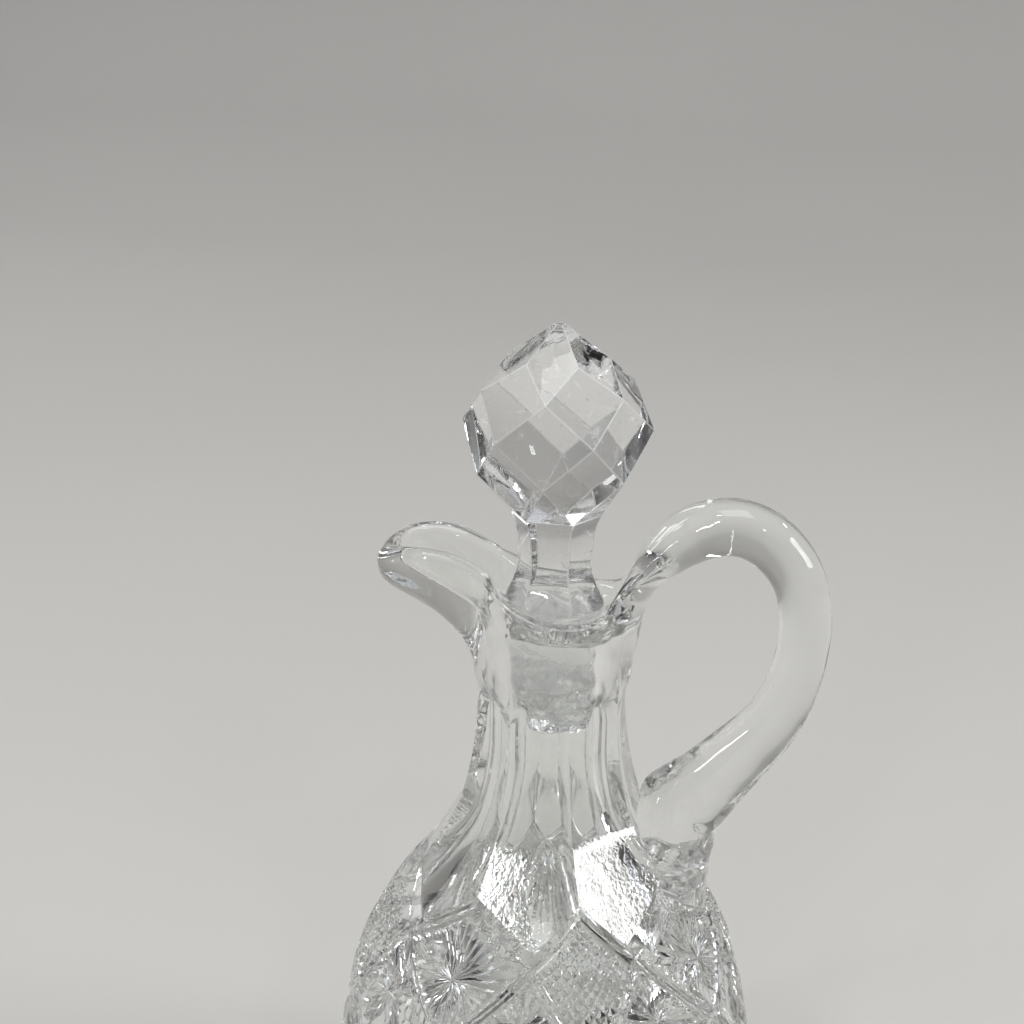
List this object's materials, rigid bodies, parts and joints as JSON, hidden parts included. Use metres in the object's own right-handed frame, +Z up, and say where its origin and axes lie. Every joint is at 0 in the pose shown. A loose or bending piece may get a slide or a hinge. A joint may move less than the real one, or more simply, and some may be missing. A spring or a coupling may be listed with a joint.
{
  "type": "glass oil bottle",
  "caption": "Pressed-glass oil or vinegar bottle with a faceted lattice belly, panelled neck, pulled pouring lip, loop handle and lift-out faceted stopper.",
  "frame": {"origin": "centre of the resting ring under the foot, on the surface that the bottle stands on", "axes": "+Z up along the bottle's axis; +X towards the handle; -X towards the pouring lip"},
  "size_m": [0.0919, 0.0804, 0.1792],
  "materials": {
    "clear_glass": "clear pressed soda-lime glass, fire-polished, slightly wavy",
    "stopper_glass": "clear pressed glass with flat ground facets and a rough matte plug end"
  },
  "bodies": {
    "bottle": {"bottle": "clear_glass", "handle": "clear_glass"},
    "stopper": {"stopper": "stopper_glass"}
  },
  "joints": [
    {"name": "stopper_lift", "type": "slide", "parent": "bottle", "child": "stopper", "axis": [0, 0, 1], "range_m": [0, 0.05]}
  ]
}
